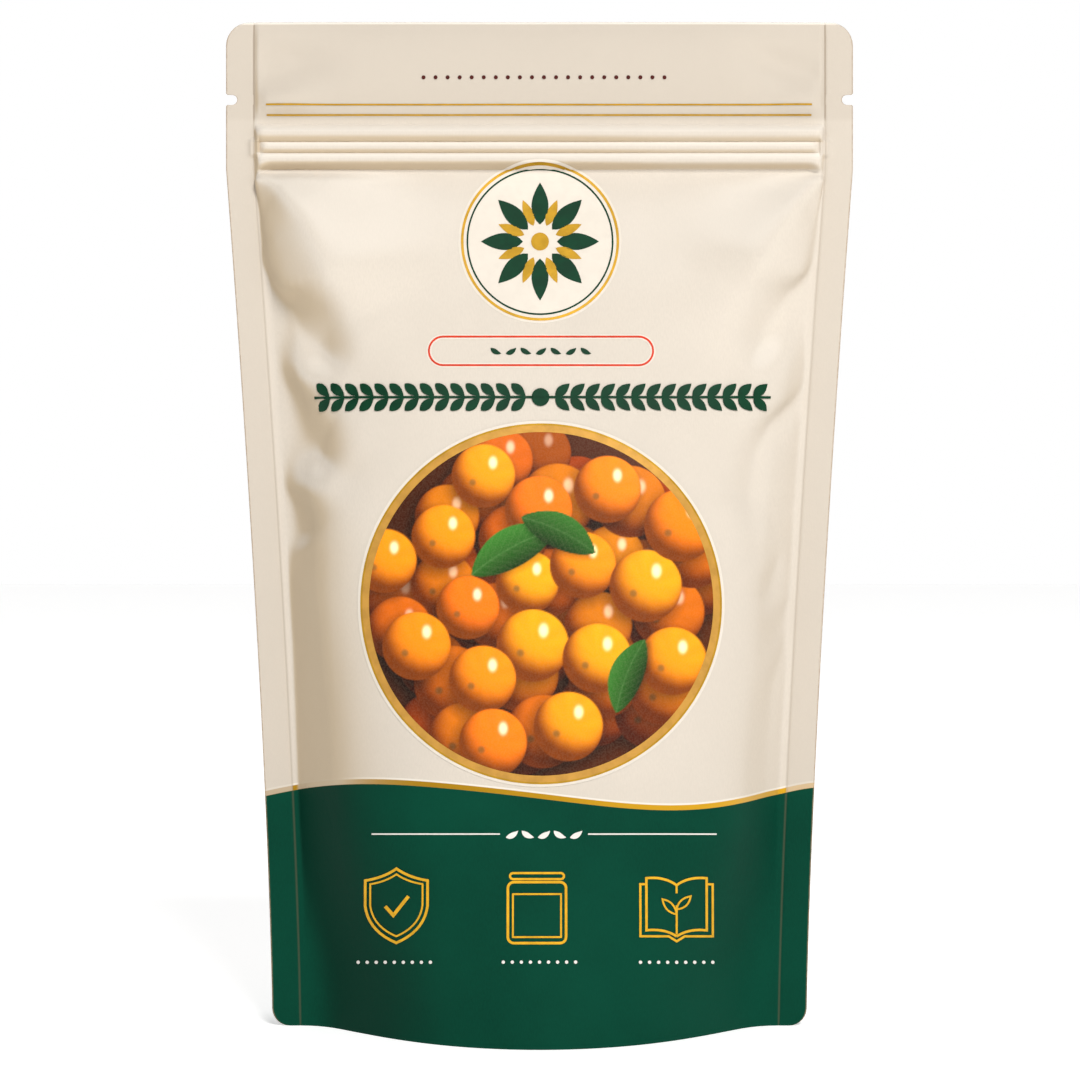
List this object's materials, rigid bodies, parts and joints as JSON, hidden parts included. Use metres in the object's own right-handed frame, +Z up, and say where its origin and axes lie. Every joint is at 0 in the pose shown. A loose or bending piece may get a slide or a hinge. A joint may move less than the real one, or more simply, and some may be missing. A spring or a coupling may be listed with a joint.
{
  "type": "resealable stand-up seed pouch",
  "caption": "Filled stand-up film pouch with side seals, tear notches, a press-to-close zipper and a folded gusset as its base, plain of any name.",
  "frame": {"origin": "middle of the pouch, on the surface it stands on", "axes": "+Z up, the front of the pouch faces -Y, +X to the right as seen from the front"},
  "size_m": [0.13, 0.0584, 0.208],
  "materials": {
    "front_film": "satin",
    "back_film": "satin",
    "gusset_film": "satin",
    "zipper_plastic": "satin",
    "seeds": "matte",
    "gold_print": "satin",
    "picture_print": "satin",
    "ink_print": "satin"
  },
  "bodies": {
    "root": {"front_panel": "front_film", "back_panel": "back_film", "bottom_gusset": "gusset_film", "zipper_rib_strip": "zipper_plastic", "zipper_groove_strip": "zipper_plastic", "seed_fill": "seeds"}
  },
  "joints": []
}
